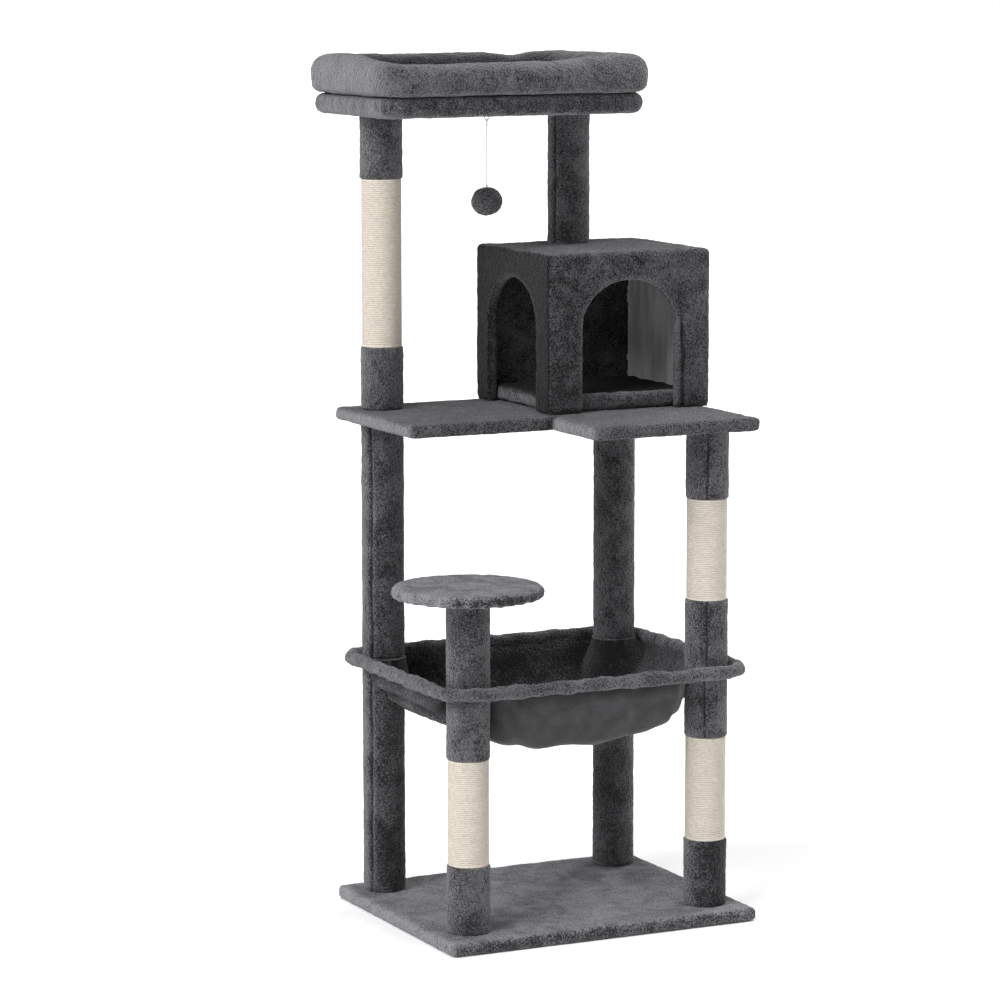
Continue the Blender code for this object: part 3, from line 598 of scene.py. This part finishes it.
def makeRoundPerch():
    low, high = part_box("round_perch_cover")
    middle, radius = (low + high) / 2, (high.x - low.x) / 2
    turns = [math.tau * step / roundPerch["around"] for step in range(roundPerch["around"])]
    outline = [(middle.x + radius * math.cos(t), middle.y + radius * math.sin(t)) for t in turns]

    def gathers(place, normal):  # folds round the lower edge, where the cover is drawn in
        arm = Vector((place.x - middle.x, place.y - middle.y))
        turn = math.atan2(arm.y, arm.x)
        lowness = max(0.0, 1 - (place.z - low.z) / (high.z - low.z))
        edge = fade(arm.length, radius - roundPerch["gatherFrom"], roundPerch["gatherFade"])
        wave = math.sin(turn * roundPerch["gathers"] + 3 * noise.noise(Vector((turn * 3, 0, 0))))
        return roundPerch["gatherDepth"] * wave * lowness * edge

    # the round perch wears the lighter copy of the plush: painted light
    makeCover("roundPerchCover", outline, "round_perch_cover", "round_perch_board", plushPaintedLight, 0,
              roundPerch["edgeRound"], roundPerch["sideShade"], gathers)


makeRoundPerch()
print("round perch made")

# the top perch and the stuffed rim on it that makes it a bed
bed = {
    "corner": 0.046,
    "edgeRound": 0.012,
    "sideShade": 0.26,
    "gatherLength": 0.016,
    "gatherHeight": 0.03,
    "gatherDepth": 0.0046,
    "width": 0.078,
    "section": 40,
    "cornerSteps": 8,
    "rimCorner": 0.055,
    "rimInnerCorner": 0.016,
    "voxel": 0.004,
    "waves": ((0.090, 0.0024), (0.032, 0.0012), (0.012, 0.0006), (0.006, 0.0008)),
    "frontSag": 0.010,
    "sagRight": 0.17,       # where the sag ends, right of the middle
    "sagFade": (0.05, 0.10, 0.06),  # how far it takes to fade at the left, the right and the back
    "backDip": 0.006,
    "dipRight": 0.12,
    "dipHalf": 0.030,
    "hollowShade": 0.50,
    "hollowSteep": 1.4,     # how steep the inside has to be for the full shade
    # painted light on the sides that face left
    "leftLight": 0.34,
    # how square each quarter of the roll's section is, from outside top round to inside bottom
    "square": ((1, 1, 2.5), (-1, 1, 2.1), (-1, -1, 3.0), (1, -1, 4.5)),
}


def makeTopPerch():
    low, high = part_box("top_perch_cover")

    def gathers(place, normal):
        around = place.x + place.y if abs(normal.x) < abs(normal.y) else place.y - place.x
        side = 1 - min(1.0, abs(normal.z))
        wave = noise.noise(Vector((around / bed["gatherLength"], place.z / bed["gatherHeight"], 4.0)))
        return bed["gatherDepth"] * wave * side

    makeCover("topPerchCover", rectangle(low, high), "top_perch_cover", "top_perch_board", plush,
              bed["corner"], bed["edgeRound"], bed["sideShade"], gathers)


def levelLoop(bm, low, high, inward, corner, z):  # a rectangle with round corners, as a loop of edges
    verts = []
    left, front, right, back = (
        low.x + inward + corner, low.y + inward + corner, high.x - inward - corner, high.y - inward - corner)
    for x, y, start in ((right, back, 0), (left, back, 90), (left, front, 180), (right, front, 270)):
        for step in range(bed["cornerSteps"] + 1):
            angle = math.radians(start + 90 * step / bed["cornerSteps"])
            verts.append(bm.verts.new((x + corner * math.cos(angle), y + corner * math.sin(angle), z)))
    return [bm.edges.new((a, b)) for a, b in zip(verts, verts[1:] + verts[:1])]


def makeBed():
    low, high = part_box("bed_rim")
    half, tall = bed["width"] / 2, (high.z - low.z) / 2
    bm, loops = bmesh.new(), []
    for step in range(bed["section"]):
        angle = math.tau * (step + 0.5) / bed["section"]
        out, up = math.cos(angle), math.sin(angle)
        square = next(n for sx, sy, n in bed["square"] if sx * out > 0 and sy * up > 0)
        out = math.copysign(abs(out) ** (2 / square), out) * half
        up = math.copysign(abs(up) ** (2 / square), up) * tall
        corner = max(bed["rimCorner"] - half + out, bed["rimInnerCorner"])
        loops.append(levelLoop(bm, low, high, half - out, corner, low.z + tall + up))
    for first, second in zip(loops, loops[1:] + loops[:1]):
        bmesh.ops.bridge_loops(bm, edges=first + second)
    bm = evenMesh(tidied(bm), bed["voxel"])
    soften(bm)
    soften(bm)
    ruffle(bm, bed["waves"])
    middle = (low + high) / 2

    def hollow(place, normal):  # painted shade inside the bed, where little light comes
        inward = Vector((place.x - middle.x, place.y - middle.y)).dot(normal.xy) < 0
        return bed["hollowShade"] * min(1.0, bed["hollowSteep"] * normal.xy.length) if inward else 0.0

    left, right, back = bed["sagFade"]
    for vert in bm.verts:  # the front of the rim sags between its corners, and the back has one dip
        x, y = vert.co.xy - middle.xy
        front = min(fade(vert.co.x, low.x, left), fade(-x, -bed["sagRight"], right)) * fade(-y, 0.0, back)
        dip = math.exp(-((x - bed["dipRight"]) / bed["dipHalf"]) ** 2) if y > 0 else 0.0
        rise = max(0.0, (vert.co.z - low.z) / (high.z - low.z))
        vert.co.z = max(vert.co.z - (bed["frontSag"] * front + bed["backDip"] * dip) * rise ** 2, low.z)
    addPaintedShading(bm, lambda place, normal: hollow(place, normal) - bed["leftLight"] * max(0.0, -normal.x))
    pieceFrom(bm, "bedRim", plush, "tree", "plush", "bed_rim")


makeTopPerch()
makeBed()
print("bed made")

# the cave: one cover over both faces of its panels, and a loose mat
caveLook = {
    "voxel": 0.0032,
    "wall": 0.0156,
    "round": 0.008,
    "innerRound": 0.006,
    "puff": 0.0008,
    "archWidth": 0.174,
    "archHeight": 0.215,
    "archRise": 0.075,
    "archSteps": 96,
    "archReach": 0.03,      # how far the cut runs to each side of the wall's middle
    "waves": ((0.080, 0.0008), (0.028, 0.0006), (0.012, 0.0004), (0.006, 0.0007)),
    "frontShade": 0.14, "leftShade": 0.62, "roofShade": 0.12, "insideShade": 0.10,
    "faceDepth": 0.003,     # fabric this near the outside counts as that face
    "rimBand": 0.005,       # the width of the painted light along an arch's edge
    "rimLight": 0.30,
    "seamBeside": 0.009,    # the closing seam, up the front right leg
    "seamUp": 0.16,
    "seamFade": 0.02,
    "seamHalf": 0.0022,
    "seamDepth": 0.0014,
    "seamShade": 0.7,
    "seamWander": (15, 0.002),
}


def boxShape(low, high):
    bm = bmesh.new()
    bmesh.ops.create_cube(bm, size=1.0)
    bmesh.ops.scale(bm, verts=bm.verts, vec=high - low)
    bmesh.ops.translate(bm, verts=bm.verts, vec=(low + high) / 2)
    return bm


def archCutters(centre, floorZ, along):  # a box with an arched top, through one wall
    half, rise, reach = caveLook["archWidth"] / 2, caveLook["archRise"], caveLook["archReach"]
    middle = Vector((centre.x, centre.y, floorZ + caveLook["archHeight"] - rise))
    side = Vector((half, reach, 0)) if along == "y" else Vector((reach, half, 0))
    foot = Vector((centre.x, centre.y, floorZ - caveLook["wall"]))
    legs = boxShape(foot - side, middle + side)
    crown = bmesh.new()
    bmesh.ops.create_cone(
        crown, cap_ends=True, segments=caveLook["archSteps"], radius1=1.0, radius2=1.0, depth=2.0)
    turn = Matrix.Rotation(math.pi / 2, 3, "X" if along == "y" else "Y")
    bmesh.ops.rotate(crown, verts=crown.verts, cent=(0, 0, 0), matrix=turn)
    bmesh.ops.scale(crown, verts=crown.verts, vec=side + Vector((0, 0, rise)))
    bmesh.ops.translate(crown, verts=crown.verts, vec=middle)
    return [objectFrom(legs, "legs"), objectFrom(crown, "crown")]


def makeCave():
    low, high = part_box("cave_cover")
    middle, wall = (low + high) / 2, caveLook["wall"]
    outside = boxShape(low, high)
    bevelled(outside, outside.edges[:], caveLook["round"], shaping["edgeSteps"])
    room = boxShape(low + Vector((wall, wall, -3 * wall)), high - Vector((wall, wall, wall)))
    bevelled(room, room.edges[:], caveLook["innerRound"], shaping["edgeSteps"] - 1)
    cutters = [objectFrom(room, "room")]
    cutters += archCutters(Vector((middle.x, low.y + wall / 2, 0)), low.z, "y")
    cutters += archCutters(Vector((low.x + wall / 2, middle.y, 0)), low.z, "x")
    bm = evenMesh(outside, caveLook["voxel"], cutters)
    soften(bm)
    seamX, seamTop = middle.x + caveLook["archWidth"] / 2 + caveLook["seamBeside"], low.z + caveLook["seamUp"]

    def seamAt(place):
        if place.y > low.y + wall / 2:
            return 0.0
        turns, swing = caveLook["seamWander"]
        wander = swing * noise.noise(Vector((0, 0, place.z * turns)))
        dim = fade(-place.z, -seamTop, caveLook["seamFade"])
        return dim * math.exp(-((place.x - seamX - wander) / caveLook["seamHalf"]) ** 2)

    ruffle(bm, caveLook["waves"], lambda place, normal: (
        caveLook["puff"] - caveLook["seamDepth"] * seamAt(place)))

    def archRim(along, up):  # 1 at the arch's edge, fading away from it
        half, rise = caveLook["archWidth"] / 2, caveLook["archRise"]
        above = up - (low.z + caveLook["archHeight"] - rise)
        away = (math.hypot(along / half, above / rise) - 1) * rise if above > 0 else abs(along) - half
        return math.exp(-(away / caveLook["rimBand"]) ** 2)

    def lean(place, normal):  # painted shade on each face, set face by face, with painted light along the arch edges and painted shade in the seam
        if place.y < low.y + caveLook["faceDepth"]:
            across = (high.x - place.x) / (high.x - low.x)
            rim = archRim(place.x - middle.x, place.z)
            dark = caveLook["frontShade"] * across + caveLook["seamShade"] * seamAt(place)
            return dark - caveLook["rimLight"] * rim
        if place.x < low.x + caveLook["faceDepth"]:
            return caveLook["leftShade"] - caveLook["rimLight"] * archRim(place.y - middle.y, place.z)
        return caveLook["roofShade"] if normal.z > 0.5 else caveLook["insideShade"]

    addPaintedShading(bm, lean)
    keepAbove(bm, low.z)
    bm.normal_update()
    for face in bm.faces:  # the right wall has the lining inside
        spot = face.calc_center_median()
        lined = face.normal.x < -0.6 and abs(spot.x - high.x + wall) < caveLook["voxel"] * 1.25
        if lined and low.y + wall < spot.y < high.y - wall and low.z < spot.z < high.z - wall:
            face.material_index = 1
    for node in ("front", "back", "left", "right", "roof"):
        addRoom(bm, f"cave_panel_{node}")
    # the cave wears the darker copy of the plush: painted shade
    cave = pieceFrom(bm, "caveCover", plushPaintedShade, "tree", "plush", "cave_cover")
    cave.data.materials.append(backing)


mat = {
    "corner": 0.014,
    "edgeRound": 0.009,
    "voxel": 0.0035,
    "waves": ((0.060, 0.0030), (0.020, 0.0018), (0.008, 0.0012)),
    "shade": 1.2,
    "litEdge": 0.008,       # the front edge is left out of the painted shade
    "fade": 0.012,
}


def makeMat():
    low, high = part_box("cave_mat")
    bm = evenMesh(slab(rectangle(low, high), low.z, high.z, mat["corner"], mat["edgeRound"]), mat["voxel"])
    soften(bm)
    ruffle(bm, mat["waves"])
    keepAbove(bm, low.z)
    # painted shade on the mat's top, inside the cave
    addPaintedShading(bm, lambda place, normal: (
        mat["shade"] * max(0.0, normal.z) * fade(place.y, low.y + mat["litEdge"], mat["fade"])))
    pieceFrom(bm, "caveMat", plush, "tree", "plush", "cave_mat")


makeCave()
makeMat()
print("cave made")

# the hammock: a padded hem round the rod, the bag in it and the corner tabs clamped in the posts
hammock = {
    "rodRadius": 0.003,
    "hemRadius": 0.0110,
    "hemSides": 16,
    "hemStep": 0.004,
    "hemWaves": ((0.045, 0.0020), (0.019, 0.0026), (0.0075, 0.0013)),
    "overlap": 0.6,         # share of the hem's radius that covers the bag's edge
    "fabric": 0.0024,
    "drop": 0.0045,         # bag's edge below the middle of the hem
    "depth": 0.112,
    "allowance": (0.11, 0.16),  # what the cut cloth has beyond the opening, for the bag's depth
    "gridX": 130,
    "gridY": 108,
    "lengthwise": 2.5,      # powers of the sag: the higher, the flatter in the middle
    "rightLengthwise": 2.0,
    "crosswise": 7.0,
    "fullness": 0.6,
    "takeUp": (0.35, 0.75),  # how far from a front and a rear post the cloth hangs free, in post radii
    "postRadius": 0.0352,
    "snap": 0.0058,         # cloth this far inside a post's surface is drawn out to it
    "turnIn": 0.040,
    "folds": (0.10, 0.035),  # lengths along and across the slanting folds
    "smallFolds": (0.03, 0.05),
    "foldDepth": 0.0040,
    "drapes": 3.2,          # folds from the hem to the bottom, on the left flank
    "drapeSway": (0.05, 0.12),
    "flankFold": 0.0075,
    "flankFade": 0.02,
    "wrinkle": 0.0060,
    "wrinkleLength": 0.034,
    "wrinkleLean": 0.9,
    "wrinkleFront": (0.55, 0.2),  # where the wrinkles start, as a share of the way to the front
    "insideShade": 0.30,
    "postDark": 0.05,       # reach of the stronger painted shade beside a post
    "slant": 0.48,          # the plush side faces out left of a line from the front left post
    # radius and height of each corner of a tab's section
    "tab": ((0.0, 0.0012), (0.0350, 0.0012), (0.0368, 0.0008), (0.0374, 0.0), (0.0368, -0.0008),
            (0.0350, -0.0012), (0.0, -0.0012)),
    "tabSteps": 72,
}


def hemPath(beyond, step):  # the rod's line round the posts, with corners that go round them
    rodLow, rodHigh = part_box("hammock_rod")
    names = ("front_left", "front_right", "rear_right", "rear_left")
    centres = [sum(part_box(f"core_{name}_lower"), Vector()) / 2 for name in names]
    starts = (math.pi, -math.pi / 2, 0.0, math.pi / 2)
    corners = []
    for centre, start in zip(centres, starts):
        count = max(4, round(beyond * math.pi / 2 / step))
        corners.append([
            Vector((centre.x + beyond * math.cos(start + math.pi / 2 * k / count),
                    centre.y + beyond * math.sin(start + math.pi / 2 * k / count), 0))
            for k in range(count + 1)])
    path = []
    for arc, follower in zip(corners, corners[1:] + corners[:1]):
        path += arc
        straight = follower[0] - arc[-1]
        count = round(straight.length / step)
        path += [arc[-1] + straight * (k / count) for k in range(1, count)]
    return path, (rodLow.z + rodHigh.z) / 2, centres


def hemShape(path, level):
    bm, loops = bmesh.new(), []
    for at, here in enumerate(path):
        ahead = path[(at + 1) % len(path)] - path[at - 1]
        turn = Matrix.Rotation(math.atan2(ahead.y, ahead.x), 4, "Z") @ Matrix.Rotation(math.pi / 2, 4, "Y")
        ring = bmesh.ops.create_circle(
            bm, cap_ends=False, segments=hammock["hemSides"], radius=hammock["hemRadius"],
            matrix=Matrix.Translation(here + Vector((0, 0, level))) @ turn)["verts"]
        loops.append(list(dict.fromkeys(edge for vert in ring for edge in vert.link_edges)))
    for first, second in zip(loops, loops[1:] + loops[:1]):
        bmesh.ops.bridge_loops(bm, edges=first + second)
    return bm


def frontEnd(x, centres, edge):  # the cloth's front edge runs along the hem, then in to the post's side
    reach = hammock["postRadius"]
    away = abs(x) - centres[1].x
    if away < -reach:
        toHem = min(1.0, (-reach - away) / hammock["turnIn"])
        return centres[0].y - edge * toHem
    return centres[0].y + math.sqrt(max(0.0, reach ** 2 - away ** 2))


def bagSag(across, along, x, y, centres):  # how far the cloth has sunk, from 0 to 1
    power = hammock["lengthwise"] if x < 0 else hammock["rightLengthwise"]
    bowl = max(0.0, 1 - abs(across) ** power) * max(0.0, 1 - abs(along) ** hammock["crosswise"])
    nearest = min(math.hypot(x - c.x, y - c.y) for c in centres)
    free = fade(nearest / hammock["postRadius"], 1.0, hammock["takeUp"][along > 0])
    return bowl ** hammock["fullness"] * math.sin(free * math.pi / 2), free


def makeTab(number, centre, level):  # the cloth clamped between two lengths of post
    bm = bmesh.new()
    verts = [bm.verts.new((centre.x + r, centre.y, level + z)) for r, z in hammock["tab"]]
    edges = [bm.edges.new(pair) for pair in zip(verts, verts[1:])]
    bmesh.ops.spin(bm, geom=verts + edges, cent=centre, axis=(0, 0, 1), angle=math.tau,
                   steps=hammock["tabSteps"], use_merge=True)
    return pieceFrom(tidied(bm), f"hammockTab{number + 1}", plush, "tree", "plush")


def makeHammock():
    postLow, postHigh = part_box("core_front_left_lower")
    beyond = (postLow.x + postHigh.x) / 2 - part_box("hammock_rod")[0].x - hammock["rodRadius"]
    path, level, centres = hemPath(beyond, hammock["hemStep"])
    bm = hemShape(path, level)
    bmesh.ops.recalc_face_normals(bm, faces=bm.faces)
    ruffle(bm, hammock["hemWaves"])
    hem = pieceFrom(bm, "hammockHem", plush, "tree", "plush")

    edge = beyond - hammock["overlap"] * hammock["hemRadius"]
    middleY = (centres[0].y + centres[2].y) / 2
    halfX, halfY = centres[1].x + edge, (centres[2].y - centres[0].y) / 2 + edge
    bm = bmesh.new()
    bmesh.ops.create_grid(bm, x_segments=hammock["gridX"], y_segments=hammock["gridY"], size=1.0)
    dropped = []

    def leftOf(x, y):  # how far left of the slanting seam between the plush flank and the knit
        return centres[0].x + hammock["slant"] * (y - centres[0].y) - x

    for vert in bm.verts:
        across, along = vert.co.x, vert.co.y
        x, y = across * halfX, middleY + along * halfY
        if along < 0:
            y = middleY + along * (middleY - frontEnd(x, centres, edge))
        centre = min(centres, key=lambda c: math.hypot(x - c.x, y - c.y))
        arm = Vector((x - centre.x, y - centre.y))
        outside = abs(x) > centres[1].x and y > centres[2].y  # outside a rear post the hem is alone
        if outside or arm.length < hammock["postRadius"] - hammock["snap"]:
            dropped.append(vert)
            continue
        if arm.length < hammock["postRadius"]:
            x, y = centre.xy + arm.normalized() * hammock["postRadius"]
        sag, free = bagSag(across, along, x, y, centres)
        z = level - hammock["drop"] * min(1.0, 2 * free) - hammock["depth"] * sag
        sunk = min(1.0, sag * 3) * free
        # soft slanting folds over the whole bag
        length, width = hammock["folds"]
        fold = noise.noise(Vector(((x + y) / length, (x - y) / width, 0.7)))
        length, width = hammock["smallFolds"]
        fold += 0.5 * noise.noise(Vector((x / length, y / width, 3.1)))
        z += hammock["foldDepth"] * sunk * fold
        # level drapes on the left flank
        length, width = hammock["drapeSway"]
        sway = noise.noise(Vector((x / length, y / width, 9.0)))
        flank = fade(leftOf(x, y), 0.0, hammock["flankFade"])
        x += hammock["flankFold"] * sunk * flank * math.sin(math.tau * sag * hammock["drapes"] + 2 * sway)
        # leaning wrinkles in front
        lean = (x + hammock["wrinkleLean"] * z) / hammock["wrinkleLength"]
        start, length = hammock["wrinkleFront"]
        y += hammock["wrinkle"] * sunk * noise.noise(Vector((lean, 0.0, 5.0))) * fade(-along, start, length)
        vert.co = (x, y, z)
    bmesh.ops.delete(bm, geom=dropped, context="VERTS")

    def inside(place, normal):  # painted shade in the hollow, most beside the posts
        away = min(math.hypot(place.x - c.x, place.y - c.y) for c in centres) - hammock["postRadius"]
        return hammock["insideShade"] * (1 + max(0.0, 1 - away / hammock["postDark"]))

    addPaintedShading(bm, inside)
    for face in bm.faces:
        spot = face.calc_center_median()
        if leftOf(spot.x, spot.y) > 0:
            face.material_index = 2  # with the plush facing out
    bag = pieceFrom(bm, "hammockBag", plush, "tree", "knit", "hammock_cloth")
    # slots: plush and knit for the bag's two sides, then plush and the lighter copy of the plush, painted
    # light, for the flank's two sides
    for look in (knit, plush, plushPaintedLight):
        bag.data.materials.append(look)
    thick = bag.modifiers.new("fabric", "SOLIDIFY")
    thick.thickness = hammock["fabric"]
    thick.offset = 0.0
    thick.material_offset = 1
    thick.use_rim = True
    tabs = [makeTab(number, centre, level) for number, centre in enumerate(centres)]


makeHammock()
print("hammock made")

# the CAD's own hidden pieces get their real materials
stays = {
    "core_": cardboard,
    "base_bolt": zincSteel, "middle_bolt": zincSteel, "cave_roof_bolt": zincSteel,
    "round_perch_bolt": zincSteel, "top_perch_bolt": zincSteel,
    "hammock_rod": zincSteel, "toy_screw_eye": zincSteel,
    "base_board": particleBoard, "middle_board": particleBoard, "cave_panel": particleBoard,
    "round_perch_board": particleBoard, "top_perch_board": particleBoard,
}
for name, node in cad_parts.items():
    for start, material in stays.items():
        if name.startswith(start):
            for held in node.material_slots:
                held.material = material
print("hidden pieces painted")

# the floor and the light
studio = {
    "floorHalf": 60.0,
    "floorDrop": 0.0003,    # a hair below the base, so that the two don't flicker
    "air": 0.34,            # light that comes from all round
    "lamps": (
        # name, where it shines from, strength, how wide it looks in degrees
        ("keySun", (-1.00, -0.42, 0.90), 2.9, 35),
        ("topSun", (0.25, -0.10, 1.20), 1.6, 60),
        ("rimSun", (1.00, 0.45, 0.50), 1.8, 40),
    ),
}


def makeStudio():
    scene.view_settings.view_transform = "Standard"
    world = bpy.data.worlds.new("studioAir")
    scene.world = world
    world.use_nodes = True
    tree = world.node_tree
    tree.nodes.clear()
    seen = addNode(tree, "LightPath", out="Is Camera Ray")  # the backdrop is white, the air dimmer
    level = addNode(tree, "MapRange", {"Value": seen, "To Min": studio["air"], "To Max": 1.0})
    air = addNode(tree, "Background", {"Color": hexColour("#FFFFFF"), "Strength": level})
    addNode(tree, "OutputWorld", {"Surface": air})
    for name, place, strength, width in studio["lamps"]:
        lamp = bpy.data.lights.new(name, "SUN")
        lamp.energy, lamp.angle = strength, math.radians(width)
        holder = bpy.data.objects.new(name, lamp)
        holder.rotation_euler = Vector(place).to_track_quat("Z", "Y").to_euler()
        scene.collection.objects.link(holder)
    bm = bmesh.new()
    bmesh.ops.create_grid(bm, x_segments=1, y_segments=1, size=studio["floorHalf"])
    bmesh.ops.translate(bm, verts=bm.verts, vec=(0, 0, -studio["floorDrop"]))
    floor = objectFrom(bm, "floor")
    floor.data.materials.append(makeMaterial("paperSweep", "paper", "#F6F6F6", "#F8F8F8"))


makeStudio()
print("studio lit")
